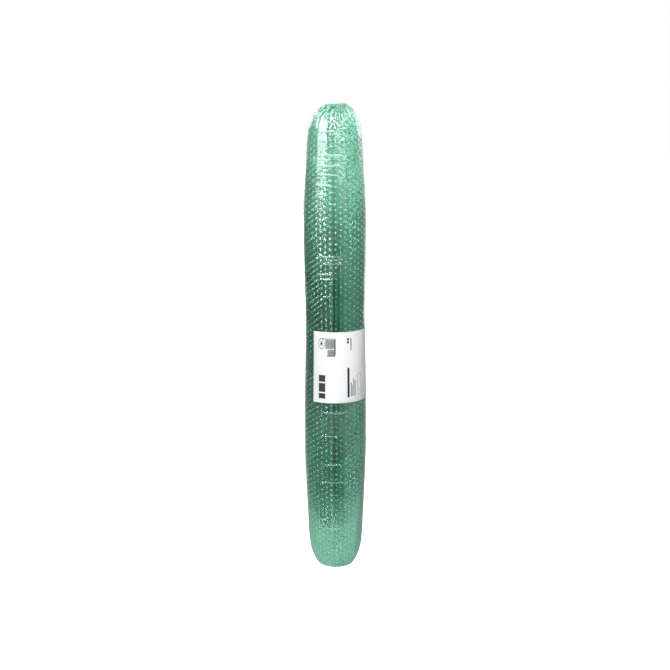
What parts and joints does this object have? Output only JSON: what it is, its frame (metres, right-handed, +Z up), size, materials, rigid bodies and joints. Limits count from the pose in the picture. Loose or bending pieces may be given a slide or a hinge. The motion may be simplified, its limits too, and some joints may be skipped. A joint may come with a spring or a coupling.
{
  "type": "bubble wrap roll",
  "caption": "Upright roll of green air-bubble film on a cardboard core, closed with tape, sleeved in clear shrink film and carrying a wrap-round paper label.",
  "frame": {"origin": "centre of the roll's foot, on the floor: the middle of the bottom of the bounding box", "axes": "+Z up along the roll's axis, through the core; -Y towards the front, where the sheet's tail and the label's printed face lie; +X to the right"},
  "size_m": [0.135, 0.135, 1.013],
  "materials": {
    "cardboard": "matte",
    "bubble_film": "gloss",
    "clear_tape": "gloss",
    "clear_film": "gloss",
    "label_paper": "satin"
  },
  "bodies": {
    "root": {"core_tube": "cardboard", "bubble_sheet": "bubble_film", "tail_tape_upper": "clear_tape", "tail_tape_lower": "clear_tape", "shrink_film": "clear_film", "paper_label": "label_paper"}
  },
  "joints": []
}
